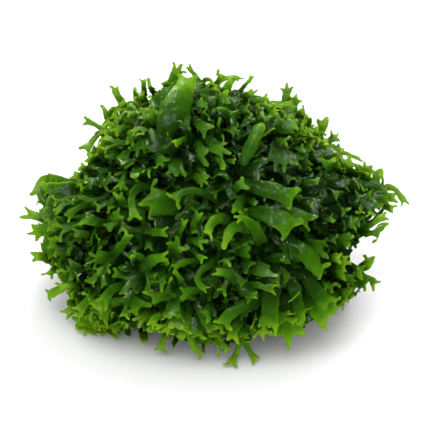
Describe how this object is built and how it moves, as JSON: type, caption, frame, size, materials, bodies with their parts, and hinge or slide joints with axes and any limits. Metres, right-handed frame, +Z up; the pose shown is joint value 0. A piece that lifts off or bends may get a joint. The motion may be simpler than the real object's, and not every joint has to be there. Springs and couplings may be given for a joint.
{
  "type": "pellia moss clump",
  "caption": "Domed clump of wet pellia moss: a dense dark green mat with bright, fleshy, forked ribbon lobes that end in two small horns.",
  "frame": {"origin": "middle of the clump's footprint, on the surface that it rests on", "axes": "+Z up, +X to the right as the picture shows the clump, which is its longest side, -Y towards the picture's viewer"},
  "size_m": [0.0774, 0.0668, 0.0502],
  "materials": {
    "old_tissue": "satin",
    "young_tissue": "satin"
  },
  "bodies": {
    "root": {"back_thallus_01": "young_tissue", "back_thallus_02": "young_tissue", "back_thallus_03": "young_tissue", "back_thallus_04": "young_tissue", "back_thallus_05": "young_tissue", "back_thallus_06": "young_tissue", "back_thallus_07": "young_tissue", "back_thallus_08": "young_tissue", "back_thallus_09": "young_tissue", "back_thallus_10": "young_tissue", "back_thallus_11": "young_tissue", "back_thallus_12": "young_tissue", "back_thallus_13": "young_tissue", "back_thallus_14": "young_tissue", "back_thallus_15": "young_tissue", "back_thallus_16": "young_tissue", "back_thallus_17": "young_tissue", "back_thallus_18": "young_tissue", "back_thallus_19": "young_tissue", "crown_antler_right": "young_tissue", "crown_fork": "young_tissue", "crown_hook": "young_tissue", "crown_leaf": "young_tissue", "crown_strap": "young_tissue", "flank_antler_right": "young_tissue", "flank_bent_ribbon_left": "young_tissue", "flank_fork_left_low": "young_tissue", "flank_frill_left": "young_tissue", "flank_frill_right": "young_tissue", "flank_frill_shoulder": "young_tissue", "flank_spray_right": "young_tissue", "flank_strap_right": "young_tissue", "front_antler_low": "young_tissue", "front_antler_middle": "young_tissue", "front_arch": "young_tissue", "front_bow": "young_tissue", "front_comb": "young_tissue", "front_hook_right": "young_tissue", "front_knuckle": "young_tissue", "front_leaf_left": "young_tissue", "front_leaf_right": "young_tissue", "front_peg_left": "young_tissue", "front_peg_upper": "young_tissue", "front_ribbon_centre": "young_tissue", "front_ribbon_right": "young_tissue", "front_star_upper": "young_tissue", "front_tooth": "young_tissue", "front_tube": "young_tissue", "mat": "old_tissue", "shoulder_fork_left": "young_tissue", "shoulder_frill_right": "young_tissue", "shoulder_peg_left": "young_tissue", "shoulder_strap_left": "young_tissue", "shoulder_strap_right": "young_tissue", "skirt_antler_left": "young_tissue", "skirt_antler_middle": "young_tissue", "skirt_fork_left": "young_tissue", "skirt_fork_middle": "young_tissue", "skirt_leaf_corner": "young_tissue", "skirt_leaf_right": "young_tissue"}
  },
  "joints": []
}
